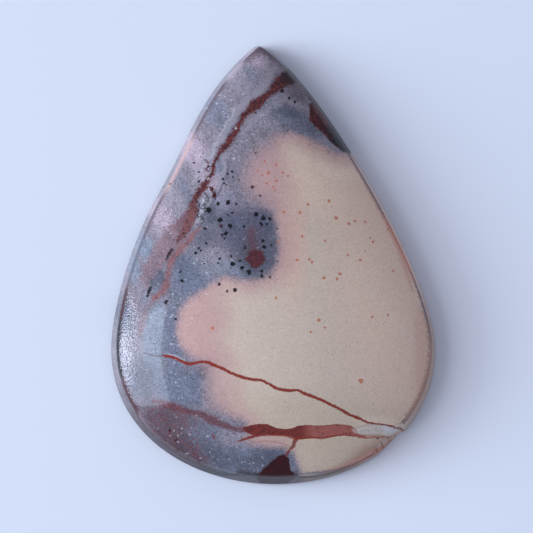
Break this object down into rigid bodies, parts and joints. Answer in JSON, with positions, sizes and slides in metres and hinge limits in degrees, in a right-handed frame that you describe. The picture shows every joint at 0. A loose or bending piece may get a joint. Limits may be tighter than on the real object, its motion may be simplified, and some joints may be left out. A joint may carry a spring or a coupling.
{
  "type": "porcelain jasper cabochon",
  "caption": "Pear-shaped cabochon of porcelain jasper, flat on the back and domed on the front, cream and slate grey with rust-red veins.",
  "frame": {"origin": "middle of the stone's outline box, on the flat back", "axes": "+Y towards the pointed tip, along the stone's length; +Z out of the dome, square to the flat back; +X to the right as seen from above the dome with the tip up"},
  "size_m": [0.0324, 0.0445, 0.0065],
  "materials": {
    "jasper": "polished stone, cream and slate grey with rust-red veins"
  },
  "bodies": {
    "root": {"cabochon": "jasper"}
  },
  "joints": []
}
